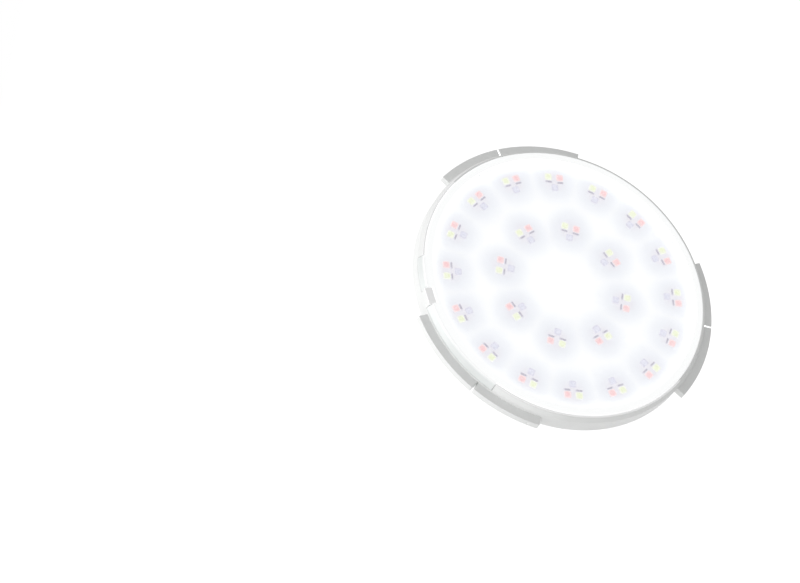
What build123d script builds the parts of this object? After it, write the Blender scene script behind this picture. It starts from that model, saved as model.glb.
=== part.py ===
from build123d import *
import os
from math import cos, degrees, radians, sin, sqrt

# A flat round LED spotlight that screws into a wall or pool fitting by a threaded spigot at its back.
# The lamp axis lies along Y, the lens faces -Y, the spigot points to +Y and +Z is up.
# The origin is on the axis at half the length of the thread.
# Depths are measured along the axis from the front face of the lens. Angles are seen from the
# front and run anticlockwise from +X. All lengths are in millimetres.

# Fits between pieces
SLIDING_GAP = 0.3
SEAM_GAP = 0.3
PIN_GAP = 0.1
RESIN_GAP = 0.2

# Lens cap
LENS_INSET = 3.0
LENS_FLANGE = 1.6
LENS_PLATE = 2.2
LENS_EDGE = 0.6
LENS_TONGUE_LENGTH = 1.8
LENS_TONGUE_WALL = 1.7
LENS_KEY_START = 95.5
LENS_KEY_END = 155.5
LENS_KEY_DEPTH = 5.4

# Seal under the lens tongue
SEAL_THICKNESS = 0.8
SEAL_WIDTH = 1.3

# Round body
BODY_RADIUS = 89.0
BODY_DEPTH = 15.0
FRONT_WALL = 2.0
LIP_WIDTH = 1.0
LIP_SINK = 0.5
TAPER_DEPTH = 3.6
LEDGE_WIDTH = 1.8
FLOOR_THICKNESS = 2.0
RIM_ROUNDING = 1.5
RIM_WIDTH = 6.5

# Cells in the back of the body
CELLS_ROUND = 9
CELL_RING_SPACING = 11.7
CELL_FIRST_RADIUS = 22.9
CELL_RING_COUNT = 6
CELL_RIB = 4.0
CELL_ANGLE = 275.0
BOSS_RING = 3
BOSS_SINK = 0.8

# Bayonet lugs
LUG_COUNT = 3
LUG_HEIGHT = 5.5
LUG_THICKNESS = 4.4
LUG_DEPTH = 6.65
LUG_ANGLE = 270.0
LUG_BEFORE = 32.0
LUG_AFTER = 26.5
LUG_SLIT = 1.0
LUG_DIMPLE_RADIUS = 1.2
LUG_DIMPLE_DEPTH = 0.6
LUG_DIMPLE_INSET = 4.0

# Stop block that stands in a notch of the lens
STOP_START = 109.5
STOP_END = 116.0
STOP_OVERHANG = 1.6

# Neck between the body and the thread
NECK_RADIUS = 22.0
NECK_WALL = 2.8
NECK_LENGTH = 12.3
WELL_LEDGE = 1.0
PARTITION_DEPTH = 16.0
PARTITION_THICKNESS = 2.5
GUSSET_RADIUS = 26.0
GUSSET_WIDTH = 3.4
GUSSET_TURN = -6.0

# Threaded spigot
THREAD_RADIUS = 23.9
THREAD_LENGTH = 17.2
THREAD_PITCH = 3.3
THREAD_CUT = 1.2
THREAD_MOUTH = 2.0
THREAD_ROOT = 0.6
THREAD_RUNOUT = 0.2
SPIGOT_WALL = 3.15
SPIGOT_SHOULDER = 2.0
SPIGOT_LEAD_LENGTH = 1.4
SPIGOT_LEAD_STEP = 0.4
SPIGOT_RIB_WIDTH = 2.5
SPIGOT_RIB_DROP = 3.0
NOTCH_WIDTH = 6.2
NOTCH_DEPTH = 4.0
NOTCH_TURN = 88.0

# Light-emitting board and its parts
BOARD_THICKNESS = 1.6
OUTER_CLUSTERS = 16
OUTER_CLUSTER_INSET = 13.95
INNER_CLUSTERS = 8
INNER_CLUSTER_RADIUS = 39.7
CLUSTER_ANGLE = 279.45
PACKAGE_SIZE = 3.8
PACKAGE_HEIGHT = 0.8
PACKAGE_SPACING = 7.2
BLUE_INSET = 7.0
RESISTOR_LENGTH = 4.3
RESISTOR_WIDTH = 0.9
RESISTOR_HEIGHT = 0.5
RESISTOR_INSET = 3.2

# Heat path behind the board
PAD_THICKNESS = 0.3
SPREADER_THICKNESS = 1.8
WINDOW_RADIUS = 16.5

# Countersunk screws
SCREW_RADIUS = 1.5
SCREW_LENGTH = 6.0
SCREW_HEAD_RADIUS = 3.0
SCREW_HEAD_HEIGHT = 1.5
SCREW_SLOT_WIDTH = 0.8
SCREW_SLOT_DEPTH = 0.7

# Driver board in the neck
DRIVER_GAP = 0.4
DRIVER_THICKNESS = 1.2
RECTIFIER_SIZE = (6.5, 5.0, 2.4)
RECTIFIER_PLACE = (-9.5, -6.5)
CHOKE_SIZE = 7.3
CHOKE_HEIGHT = 4.2
CHOKE_PLACE = (-9.0, 2.0)
CHOKE_CORE_RADIUS = 2.6
CAPACITOR_RADIUS = 3.15
CAPACITOR_HEIGHT = 4.9
CAPACITOR_BASE_HEIGHT = 0.9
CAPACITOR_PLACES = ((9.0, 5.0), (9.5, -3.5))
CHIP_SIZE = (3.9, 4.9, 1.5)
CHIP_PLACE = (0.0, 2.5)
CHIP_LEG_REACH = 1.0
LEG_WIDTH = 0.45
LEG_THICKNESS = 0.25
TERMINAL_SIZE = (10.0, 6.0, 4.6)
TERMINAL_PLACE = (0.0, -11.5)
TERMINAL_WAYS = 2
TERMINAL_HOLE_RADIUS = 1.2
LINK_PIN_COUNT = 5
LINK_PIN_RADIUS = 0.5
LINK_PIN_SPACING = 2.54
LINK_PIN_PLACE = 13.0
LINK_SOCKET_DEPTH = 1.2
LINK_TAIL = 1.2

# Cable gland
CABLE_RADIUS = 4.5
GLAND_STUB_RADIUS = 10.0
GLAND_FLATS = 24.0
GLAND_FLANGE = 3.0
GLAND_BARREL_RADIUS = 8.5
GLAND_BARREL_LENGTH = 7.0
GLAND_BORE_RADIUS = 5.2
GLAND_SEAL_RADIUS = 6.4
GLAND_SEAL_DEPTH = 6.0
GLAND_SEAL_PROUD = 0.3
O_RING_RADIUS = 10.9
O_RING_SECTION = 0.6
O_RING_GROOVE_WIDTH = 1.6
O_RING_GROOVE_DEPTH = 1.3
THRUST_RING_THICKNESS = 0.8
THRUST_RING_RADIUS = 8.2
THRUST_RING_BORE = 4.9
NUT_FACE_GAP = 0.3
NUT_TOP_THICKNESS = 3.4
NUT_HOLE_RADIUS = 5.0
NUT_DOME_DROP = 3.2
NUT_SHOULDER_DROP = 1.1
NUT_SHOULDER_INSET = 0.5
NUT_DOME_RADIUS = 8.0

# Depths of the faces that pieces share
HOUSING_FRONT = LENS_FLANGE + SEAM_GAP
TONGUE_END = LENS_PLATE + LENS_TONGUE_LENGTH
BOARD_FRONT = TONGUE_END + SEAL_THICKNESS
BOARD_BACK = BOARD_FRONT + BOARD_THICKNESS
PAD_BACK = BOARD_BACK + PAD_THICKNESS
FLOOR_FRONT = PAD_BACK + SPREADER_THICKNESS
FLOOR_BACK = FLOOR_FRONT + FLOOR_THICKNESS
DRIVER_FRONT = FLOOR_FRONT + DRIVER_GAP
DRIVER_BACK = DRIVER_FRONT + DRIVER_THICKNESS
PARTITION_BACK = PARTITION_DEPTH + PARTITION_THICKNESS
THREAD_START = BODY_DEPTH + NECK_LENGTH
SPIGOT_END = THREAD_START + THREAD_LENGTH
ORIGIN_DEPTH = SPIGOT_END - THREAD_LENGTH / 2

# Radii that pieces share
LENS_RADIUS = BODY_RADIUS - LENS_INSET
LIP_BORE = LENS_RADIUS + SLIDING_GAP
LIP_RADIUS = LIP_BORE + LIP_WIDTH
FRONT_BORE = LENS_RADIUS - FRONT_WALL
CAVITY_RADIUS = FRONT_BORE - LEDGE_WIDTH
DISC_RADIUS = CAVITY_RADIUS - SLIDING_GAP
TONGUE_RADIUS = FRONT_BORE - SLIDING_GAP
POCKET_RADIUS = BODY_RADIUS - RIM_WIDTH
WELL_RADIUS = NECK_RADIUS - NECK_WALL
WELL_INNER = WELL_RADIUS - WELL_LEDGE
SPIGOT_BORE = THREAD_RADIUS - SPIGOT_WALL
SPIGOT_LEAD_RADIUS = THREAD_RADIUS - SPIGOT_LEAD_STEP
LUG_RADIUS = BODY_RADIUS + LUG_HEIGHT
LUG_BACK = LUG_DEPTH + LUG_THICKNESS
STOP_RADIUS = LENS_RADIUS - STOP_OVERHANG
STUB_HOLE = GLAND_STUB_RADIUS + PIN_GAP
CELL_STEP = 360.0 / CELLS_ROUND
BOSS_RADIUS = CELL_FIRST_RADIUS + BOSS_RING * CELL_RING_SPACING
OUTER_CLUSTER_RADIUS = LENS_RADIUS - OUTER_CLUSTER_INSET

# Depths inside the gland
FLANGE_BACK = PARTITION_BACK + GLAND_FLANGE
BARREL_END = FLANGE_BACK + GLAND_BARREL_LENGTH
SEAL_END = BARREL_END + GLAND_SEAL_PROUD
SEAL_START = BARREL_END - GLAND_SEAL_DEPTH
THRUST_END = SEAL_END + THRUST_RING_THICKNESS
NUT_START = FLANGE_BACK + NUT_FACE_GAP
NUT_END = THRUST_END + NUT_TOP_THICKNESS

# Small overlap that lets joined shapes of one piece merge cleanly
MERGE = 0.5


def seat(depth):
    """Drawing plane square to the axis at a depth, with x to the right and y up as seen from the front."""
    return Plane(origin=(0, depth - ORIGIN_DEPTH, 0), x_dir=(1, 0, 0), z_dir=(0, -1, 0))


def prism(sketch, front, back):
    """Solid of a flat outline carried from one depth to another."""
    return extrude(seat(front) * sketch, amount=back - front, dir=(0, 1, 0))


def disc(radius, front, back, place=(0, 0)):
    """Round solid between two depths."""
    return prism(Pos(*place) * Circle(radius), front, back)


def ring(outer, inner, front, back):
    """Round solid with a hole, between two depths."""
    return prism(Circle(outer) - Circle(inner), front, back)


def block(size, front, place=(0, 0), grow=0.0):
    """Box of width, height and depth that starts at a depth, or the same box grown on every free side."""
    width, height, depth = size
    outline = Rectangle(width + 2 * grow, height + 2 * grow)
    return prism(Pos(*place) * outline, front, front + depth + grow)


def turned(points):
    """Solid of revolution from radius and depth pairs."""
    outline = [(radius, depth - ORIGIN_DEPTH) for radius, depth in points]
    return revolve(Polygon(*outline, align=None), axis=Axis.Y, revolution_arc=360)


def polar(radius, angle):
    """Place on a circle round the axis."""
    return (radius * cos(radians(angle)), radius * sin(radians(angle)))


def sector(inner, outer, start, stop):
    """Flat piece of a ring between two angles."""
    outside = CenterArc((0, 0), outer, start, stop - start)
    inside = CenterArc((0, 0), inner, start, stop - start)
    sides = [Line(inside @ 0, outside @ 0), Line(inside @ 1, outside @ 1)]
    return make_face([outside, inside, *sides])


def spoke(inner, outer, width, angle):
    """Flat bar that points away from the axis."""
    return Rot(0, 0, angle) * Pos((inner + outer) / 2, 0) * Rectangle(outer - inner, width)


def write(part, name):
    """Write one node's solids."""
    part = part if isinstance(part, Compound) else Compound(children=[part])
    export_step(part, f"parts/{name}.step")


# Rear housing

def cell_outline(ring_radius, angle):
    """One six-sided opening, drawn in by half a rib from the lines between cells."""
    wide = CELL_STEP / 3
    narrow = CELL_STEP / 6
    corners = [
        polar(ring_radius, angle - wide),
        polar(ring_radius + CELL_RING_SPACING, angle - narrow),
        polar(ring_radius + CELL_RING_SPACING, angle + narrow),
        polar(ring_radius, angle + wide),
        polar(ring_radius - CELL_RING_SPACING, angle + narrow),
        polar(ring_radius - CELL_RING_SPACING, angle - narrow),
    ]
    return offset(Polygon(*corners, align=None), amount=-CELL_RIB / 2, kind=Kind.INTERSECTION)


def cell_pockets():
    """All cells: deep ones, and the ring of shallow ones whose solid plugs take the screws."""
    field = Circle(POCKET_RADIUS) - Circle(NECK_RADIUS)
    deep = []
    shallow = []
    for row in range(CELL_RING_COUNT):
        radius = CELL_FIRST_RADIUS + row * CELL_RING_SPACING
        shift = 0 if row % 2 == BOSS_RING % 2 else CELL_STEP / 2
        for column in range(CELLS_ROUND):
            outline = cell_outline(radius, CELL_ANGLE + shift + column * CELL_STEP) & field
            if row == BOSS_RING:
                shallow.append(prism(outline, BODY_DEPTH - BOSS_SINK, BODY_DEPTH + MERGE))
            else:
                deep.append(prism(outline, FLOOR_BACK, BODY_DEPTH + MERGE))
    return deep + shallow


def body_shell():
    """Dish with its stepped front wall, floor and neck, before the cells are cut."""
    shell = turned([
        (FRONT_BORE, HOUSING_FRONT),
        (LIP_BORE, HOUSING_FRONT),
        (LIP_BORE, LIP_SINK),
        (LIP_RADIUS, LIP_SINK),
        (BODY_RADIUS, LIP_SINK + TAPER_DEPTH),
        (BODY_RADIUS, BODY_DEPTH),
        (NECK_RADIUS, BODY_DEPTH),
        (NECK_RADIUS, THREAD_START),
        (WELL_RADIUS, THREAD_START),
        (WELL_RADIUS, PARTITION_BACK),
        (STUB_HOLE, PARTITION_BACK),
        (STUB_HOLE, PARTITION_DEPTH),
        (WELL_INNER, PARTITION_DEPTH),
        (WELL_INNER, DRIVER_BACK),
        (WELL_RADIUS, DRIVER_BACK),
        (WELL_RADIUS, FLOOR_FRONT),
        (CAVITY_RADIUS, FLOOR_FRONT),
        (CAVITY_RADIUS, BOARD_FRONT),
        (FRONT_BORE, BOARD_FRONT),
    ])
    rear = seat(BODY_DEPTH).origin.Y
    rim = [
        edge
        for edge in shell.edges().filter_by(GeomType.CIRCLE)
        if abs(edge.radius - BODY_RADIUS) < 1e-6 and abs(edge.arc_center.Y - rear) < 1e-6
    ]
    return fillet(rim, RIM_ROUNDING)


def lug(slit_angle):
    """Bayonet lug with its slit and its index dimple."""
    stop = slit_angle + LUG_AFTER
    root = BODY_RADIUS - MERGE
    bar = prism(sector(root, LUG_RADIUS, slit_angle - LUG_BEFORE, stop), LUG_DEPTH, LUG_BACK)
    slit = prism(spoke(root - MERGE, LUG_RADIUS + MERGE, LUG_SLIT, slit_angle), LUG_DEPTH, LUG_BACK)
    dimple_angle = stop - LUG_DIMPLE_INSET
    x, z = polar(LUG_RADIUS, dimple_angle)
    dimple_plane = Plane(
        origin=(x, (LUG_DEPTH + LUG_BACK) / 2 - ORIGIN_DEPTH, z),
        z_dir=(cos(radians(dimple_angle)), 0, sin(radians(dimple_angle))),
    )
    dimple = extrude(dimple_plane * Circle(LUG_DIMPLE_RADIUS), amount=LUG_DIMPLE_DEPTH, both=True)
    return bar - slit - dimple


def key_seat():
    """Space in the lip and front wall that takes the key of the lens."""
    turn = degrees(SLIDING_GAP / BODY_RADIUS)
    outline = sector(LIP_BORE, BODY_RADIUS + MERGE, LENS_KEY_START - turn, LENS_KEY_END + turn)
    return prism(outline, LIP_SINK - MERGE, LENS_KEY_DEPTH + SEAM_GAP)


def stop_block(grow=0.0):
    """Block that stands in the key of the lens and keeps it from turning, or the notch for it."""
    turn = degrees(grow / BODY_RADIUS)
    outline = sector(STOP_RADIUS - grow, BODY_RADIUS + grow, STOP_START - turn, STOP_END + turn)
    return prism(outline, -grow, LENS_KEY_DEPTH + SEAM_GAP + MERGE)


def thread_groove():
    """Groove wound right-handed round the spigot, from below its foot to the plain lead at its end."""
    start = THREAD_START - THREAD_MOUTH / 2
    stop = SPIGOT_END - SPIGOT_LEAD_LENGTH - THREAD_RUNOUT - THREAD_MOUTH / 2
    path = Helix(
        pitch=THREAD_PITCH,
        height=stop - start,
        radius=THREAD_RADIUS,
        center=(0, start - ORIGIN_DEPTH, 0),
        direction=(0, 1, 0),
    )
    begin = path @ 0
    across = Plane(origin=begin, x_dir=(begin.X, 0, begin.Z), z_dir=path % 0)
    flank = (THREAD_MOUTH - THREAD_ROOT) / 2 / THREAD_CUT
    mouth = THREAD_MOUTH / 2 + flank * MERGE
    outline = Polygon(
        (-THREAD_CUT, -THREAD_ROOT / 2),
        (-THREAD_CUT, THREAD_ROOT / 2),
        (MERGE, mouth),
        (MERGE, -mouth),
        align=None,
    )
    return sweep(across * outline, path=path, is_frenet=True)


def spigot():
    """Threaded tube with a plain lead, ribs down its bore and a key notch in its end."""
    lead_start = SPIGOT_END - SPIGOT_LEAD_LENGTH
    tube = turned([
        (WELL_RADIUS, THREAD_START),
        (THREAD_RADIUS, THREAD_START),
        (THREAD_RADIUS, lead_start),
        (SPIGOT_LEAD_RADIUS, lead_start),
        (SPIGOT_LEAD_RADIUS, SPIGOT_END),
        (SPIGOT_BORE, SPIGOT_END),
        (SPIGOT_BORE, THREAD_START + SPIGOT_SHOULDER),
        (WELL_RADIUS, THREAD_START + SPIGOT_SHOULDER),
    ])
    tube -= thread_groove()
    for k in range(CELLS_ROUND):
        bar = spoke(WELL_RADIUS, SPIGOT_BORE + MERGE, SPIGOT_RIB_WIDTH, CELL_ANGLE + k * CELL_STEP)
        tube += prism(bar, THREAD_START + SPIGOT_SHOULDER - MERGE, SPIGOT_END - SPIGOT_RIB_DROP)
    notch = spoke(WELL_RADIUS - MERGE, THREAD_RADIUS + MERGE, NOTCH_WIDTH, CELL_ANGLE + NOTCH_TURN)
    return tube - prism(notch, SPIGOT_END - NOTCH_DEPTH, SPIGOT_END + MERGE)


def gussets():
    """Fins that brace the neck and end in a shoulder under the thread."""
    fins = []
    for k in range(CELLS_ROUND):
        angle = CELL_ANGLE + GUSSET_TURN + k * CELL_STEP
        bar = spoke(NECK_RADIUS - MERGE, GUSSET_RADIUS, GUSSET_WIDTH, angle)
        fins.append(prism(bar, FLOOR_BACK - MERGE, THREAD_START))
    return fins


def screw_places():
    """Centres of the screws, one in each plugged cell."""
    return [polar(BOSS_RADIUS, CELL_ANGLE + k * CELL_STEP) for k in range(CELLS_ROUND)]


def rear_housing():
    """Moulded housing in one piece."""
    shell = body_shell()
    shell = shell.cut(*[pocket.solid() for pocket in cell_pockets() if pocket.solids()])
    shell += gussets()
    shell += spigot()
    shell -= key_seat()
    shell += stop_block()
    shell += [lug(LUG_ANGLE + k * 360 / LUG_COUNT) for k in range(LUG_COUNT)]
    depth = PAD_BACK + SCREW_LENGTH + PIN_GAP
    holes = [disc(SCREW_RADIUS + PIN_GAP, FLOOR_FRONT - MERGE, depth, at) for at in screw_places()]
    return shell - holes


# Lens and its seal

def lens_key():
    """Wide tab of the lens that follows the taper of the body and fills the gap in its lip."""
    inner = LIP_BORE + SLIDING_GAP
    band = turned([
        (LENS_RADIUS - LENS_EDGE - MERGE, 0),
        (LIP_RADIUS - LENS_EDGE, 0),
        (LIP_RADIUS, LENS_EDGE),
        (BODY_RADIUS, LIP_SINK + TAPER_DEPTH),
        (BODY_RADIUS, LENS_KEY_DEPTH),
        (inner, LENS_KEY_DEPTH),
        (inner, LENS_FLANGE),
        (LENS_RADIUS - LENS_EDGE - MERGE, LENS_FLANGE),
    ])
    outline = sector(LENS_RADIUS / 2, BODY_RADIUS + MERGE, LENS_KEY_START, LENS_KEY_END)
    return band & prism(outline, 0, LENS_KEY_DEPTH)


def front_lens():
    """Clear cap with a tongue that stands in the front wall of the housing."""
    cap = turned([
        (0, 0),
        (LENS_RADIUS - LENS_EDGE, 0),
        (LENS_RADIUS, LENS_EDGE),
        (LENS_RADIUS, LENS_FLANGE),
        (TONGUE_RADIUS, LENS_FLANGE),
        (TONGUE_RADIUS, TONGUE_END),
        (TONGUE_RADIUS - LENS_TONGUE_WALL, TONGUE_END),
        (TONGUE_RADIUS - LENS_TONGUE_WALL, LENS_PLATE),
        (0, LENS_PLATE),
    ])
    return cap + lens_key() - stop_block(SLIDING_GAP)


def lens_seal():
    """Flat rubber ring on the ledge under the lens tongue."""
    return ring(TONGUE_RADIUS, TONGUE_RADIUS - SEAL_WIDTH, TONGUE_END, BOARD_FRONT)


# Light-emitting board

def clusters():
    """Radius and angle of each group of packages."""
    outer_step = 360 / OUTER_CLUSTERS
    inner_step = 360 / INNER_CLUSTERS
    outer = [(OUTER_CLUSTER_RADIUS, CLUSTER_ANGLE + k * outer_step) for k in range(OUTER_CLUSTERS)]
    first = CLUSTER_ANGLE - outer_step / 2
    inner = [(INNER_CLUSTER_RADIUS, first + k * inner_step) for k in range(INNER_CLUSTERS)]
    return outer + inner


def on_clusters(width, height, thick, along, inset):
    """The same small block in every cluster, at an offset along and across its radius."""
    blocks = []
    for radius, angle in clusters():
        place = Rot(0, 0, angle) * Pos(radius - inset, along)
        outline = place * Rectangle(height, width)
        blocks.append(prism(outline, BOARD_FRONT - thick, BOARD_FRONT))
    return Compound(children=blocks)


def packages(along, inset):
    """Square light-emitting packages, one per cluster."""
    return on_clusters(PACKAGE_SIZE, PACKAGE_SIZE, PACKAGE_HEIGHT, along, inset)


def chip_resistors():
    """Series resistors, inboard of the two outer packages of each cluster."""
    size = (RESISTOR_LENGTH, RESISTOR_WIDTH, RESISTOR_HEIGHT)
    sides = (-PACKAGE_SPACING / 2, PACKAGE_SPACING / 2)
    rows = [on_clusters(*size, along, RESISTOR_INSET) for along in sides]
    return Compound(children=[block for row in rows for block in row.solids()])


def link_places():
    """Centres of the pins between the two boards."""
    middle = (LINK_PIN_COUNT - 1) / 2
    return [((k - middle) * LINK_PIN_SPACING, LINK_PIN_PLACE) for k in range(LINK_PIN_COUNT)]


def led_board():
    """Aluminium-cored disc, with blind sockets behind for the link pins."""
    board = disc(DISC_RADIUS, BOARD_FRONT, BOARD_BACK)
    bottom = BOARD_BACK - LINK_SOCKET_DEPTH
    return board - [disc(LINK_PIN_RADIUS + PIN_GAP, bottom, BOARD_BACK, at) for at in link_places()]


# Heat path

def thermal_pad():
    """Soft conducting sheet between board and spreader."""
    return ring(DISC_RADIUS, WINDOW_RADIUS, BOARD_BACK, PAD_BACK)


def screw(grow=0.0):
    """Countersunk screw outline at the centre, or the hole for it."""
    shank = SCREW_RADIUS + grow
    head = SCREW_HEAD_RADIUS + grow
    tip = PAD_BACK + SCREW_LENGTH
    return turned([
        (0, PAD_BACK),
        (head, PAD_BACK),
        (shank, PAD_BACK + SCREW_HEAD_HEIGHT),
        (shank, tip),
        (0, tip),
    ])


def heat_spreader():
    """Aluminium disc on the floor of the housing."""
    plate = ring(DISC_RADIUS, WINDOW_RADIUS, PAD_BACK, FLOOR_FRONT)
    hole = screw(PIN_GAP)
    return plate - [Pos(x, 0, z) * hole for x, z in screw_places()]


def spreader_screws():
    """Slotted countersunk screws that hold the spreader to the plugged cells."""
    slot = Rectangle(2 * SCREW_HEAD_RADIUS, SCREW_SLOT_WIDTH)
    fastener = screw() - prism(slot, PAD_BACK, PAD_BACK + SCREW_SLOT_DEPTH)
    return Compound(children=[Pos(x, 0, z) * fastener for x, z in screw_places()])


# Driver board and its parts

def driver_board():
    """Round board on the ledge in the neck."""
    board = disc(WELL_RADIUS - SLIDING_GAP, DRIVER_FRONT, DRIVER_BACK)
    holes = [disc(LINK_PIN_RADIUS + PIN_GAP, DRIVER_FRONT, DRIVER_BACK, at) for at in link_places()]
    return board - holes


def legs(size, place, count, reach):
    """Flat metal legs along both long sides of a package."""
    width, height, depth = size
    pitch = height / count
    bars = []
    for side in (-1, 1):
        for k in range(count):
            x = place[0] + side * (width + reach) / 2
            z = place[1] + (k - (count - 1) / 2) * pitch
            bars.append(block((reach, LEG_WIDTH, LEG_THICKNESS), DRIVER_BACK, (x, z)))
    return bars


def rectifier(grow=0.0):
    """Bridge rectifier with two legs on each side."""
    body = block(RECTIFIER_SIZE, DRIVER_BACK, RECTIFIER_PLACE, grow)
    if grow:
        width, height, depth = RECTIFIER_SIZE
        wide = (width + 2 * CHIP_LEG_REACH, height, LEG_THICKNESS)
        return body + block(wide, DRIVER_BACK, RECTIFIER_PLACE, grow)
    return body + legs(RECTIFIER_SIZE, RECTIFIER_PLACE, 2, CHIP_LEG_REACH)


def choke(grow=0.0):
    """Square shielded choke with its round core showing."""
    size = (CHOKE_SIZE, CHOKE_SIZE, CHOKE_HEIGHT)
    body = block(size, DRIVER_BACK, CHOKE_PLACE, grow)
    if grow:
        return body
    top = DRIVER_BACK + CHOKE_HEIGHT
    wire_ring = Circle(CHOKE_CORE_RADIUS + LEG_WIDTH) - Circle(CHOKE_CORE_RADIUS)
    return body - prism(Pos(*CHOKE_PLACE) * wire_ring, top - LEG_WIDTH, top)


def capacitors(grow=0.0):
    """Two round smoothing capacitors, each on a square base."""
    cans = []
    for place in CAPACITOR_PLACES:
        square = (2 * CAPACITOR_RADIUS, 2 * CAPACITOR_RADIUS, CAPACITOR_BASE_HEIGHT)
        base = block(square, DRIVER_BACK, place, grow)
        end = DRIVER_BACK + CAPACITOR_HEIGHT + grow
        cans.append(base + disc(CAPACITOR_RADIUS + grow, DRIVER_BACK, end, place))
    return Compound(children=cans)


def driver_chip(grow=0.0):
    """Control chip with four legs on each side."""
    body = block(CHIP_SIZE, DRIVER_BACK, CHIP_PLACE, grow)
    if grow:
        width, height, depth = CHIP_SIZE
        wide = (width + 2 * CHIP_LEG_REACH, height, LEG_THICKNESS)
        return body + block(wide, DRIVER_BACK, CHIP_PLACE, grow)
    return body + legs(CHIP_SIZE, CHIP_PLACE, 4, CHIP_LEG_REACH)


def input_terminal(grow=0.0):
    """Terminal block where the two cable cores are clamped."""
    body = block(TERMINAL_SIZE, DRIVER_BACK, TERMINAL_PLACE, grow)
    if grow:
        return body
    top = DRIVER_BACK + TERMINAL_SIZE[2]
    pitch = TERMINAL_SIZE[0] / TERMINAL_WAYS
    for k in range(TERMINAL_WAYS):
        at = (TERMINAL_PLACE[0] + (k - (TERMINAL_WAYS - 1) / 2) * pitch, TERMINAL_PLACE[1])
        body -= disc(TERMINAL_HOLE_RADIUS, top - TERMINAL_SIZE[2] / 2, top, at)
    return body


def link_pins(grow=0.0):
    """Row of pins in an insulating bar that joins the two boards."""
    start = BOARD_BACK - LINK_SOCKET_DEPTH
    end = DRIVER_BACK + LINK_TAIL + grow
    bar = Rectangle(LINK_PIN_COUNT * LINK_PIN_SPACING, LINK_PIN_SPACING)
    header = prism(Pos(0, LINK_PIN_PLACE) * bar, BOARD_BACK, DRIVER_FRONT)
    return header + [disc(LINK_PIN_RADIUS + grow, start, end, at) for at in link_places()]


def potting_resin():
    """Resin cast round the driver's parts, with the socket that the cable leaves in it."""
    back = PARTITION_DEPTH - RESIN_GAP
    resin = disc(WELL_INNER - RESIN_GAP, DRIVER_BACK, back)
    for maker in (rectifier, choke, capacitors, driver_chip, input_terminal, link_pins):
        resin -= maker(RESIN_GAP)
    socket_start = DRIVER_BACK + CHIP_SIZE[2] + 2 * RESIN_GAP
    return resin - disc(CABLE_RADIUS + RESIN_GAP, socket_start, back)


# Cable gland

def hexagon(flats):
    """Six-sided outline of a given size across its flats."""
    return RegularPolygon(flats / sqrt(3), 6)


def gland_body():
    """Gland body through the partition, with its hexagon and outer barrel."""
    stub = disc(GLAND_STUB_RADIUS, PARTITION_DEPTH, PARTITION_BACK + MERGE)
    flange = prism(hexagon(GLAND_FLATS), PARTITION_BACK, FLANGE_BACK)
    groove_end = PARTITION_BACK + O_RING_GROOVE_DEPTH
    flange -= disc(GLAND_STUB_RADIUS + O_RING_GROOVE_WIDTH, PARTITION_BACK, groove_end)
    core = disc(GLAND_STUB_RADIUS, PARTITION_DEPTH, FLANGE_BACK)
    barrel = disc(GLAND_BARREL_RADIUS, FLANGE_BACK - MERGE, BARREL_END)
    body = stub + core + flange + barrel
    body -= disc(GLAND_BORE_RADIUS, PARTITION_DEPTH, BARREL_END)
    return body - disc(GLAND_SEAL_RADIUS + PIN_GAP, SEAL_START, BARREL_END)


def gland_o_ring():
    """Rubber ring that seals the gland to the partition."""
    middle = PARTITION_BACK + O_RING_GROOVE_DEPTH / 2 - ORIGIN_DEPTH
    section = Pos(O_RING_RADIUS, middle) * Circle(O_RING_SECTION)
    return revolve(section, axis=Axis.Y, revolution_arc=360)


def gland_seal():
    """Rubber bush that grips the cable."""
    return ring(GLAND_SEAL_RADIUS, CABLE_RADIUS, SEAL_START, SEAL_END)


def gland_thrust_ring():
    """Slip ring between the nut and the bush."""
    return ring(THRUST_RING_RADIUS, THRUST_RING_BORE, SEAL_END, THRUST_END)


def gland_nut():
    """Six-sided cap nut with a domed end."""
    across = GLAND_FLATS / sqrt(3) + MERGE
    dome = turned([
        (0, NUT_START),
        (across, NUT_START),
        (across, NUT_END - NUT_DOME_DROP),
        (GLAND_FLATS / 2 - NUT_SHOULDER_INSET, NUT_END - NUT_SHOULDER_DROP),
        (NUT_DOME_RADIUS, NUT_END),
        (0, NUT_END),
    ])
    nut = prism(hexagon(GLAND_FLATS), NUT_START, NUT_END) & dome
    nut -= disc(GLAND_BARREL_RADIUS + SLIDING_GAP, NUT_START, THRUST_END)
    return nut - disc(NUT_HOLE_RADIUS, THRUST_END, NUT_END)


os.makedirs("parts", exist_ok=True)

half = PACKAGE_SPACING / 2
write(rear_housing(), "rear_housing")
write(front_lens(), "front_lens")
write(lens_seal(), "lens_seal")
write(led_board(), "led_board")
write(packages(-half, 0), "red_leds")
write(packages(half, 0), "lime_leds")
write(packages(0, BLUE_INSET), "blue_leds")
write(chip_resistors(), "chip_resistors")
write(thermal_pad(), "thermal_pad")
write(heat_spreader(), "heat_spreader")
write(spreader_screws(), "spreader_screws")
write(driver_board(), "driver_board")
write(rectifier(), "rectifier")
write(capacitors(), "capacitors")
write(choke(), "choke")
write(driver_chip(), "driver_chip")
write(input_terminal(), "input_terminal")
write(link_pins(), "link_pins")
write(potting_resin(), "potting_resin")
write(gland_body(), "gland_body")
write(gland_o_ring(), "gland_o_ring")
write(gland_seal(), "gland_seal")
write(gland_thrust_ring(), "gland_thrust_ring")
write(gland_nut(), "gland_nut")
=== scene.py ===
import math
import bmesh
import bpy
import numpy as np
from mathutils import Matrix, Vector
from mathutils.geometry import delaunay_2d_cdt


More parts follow.
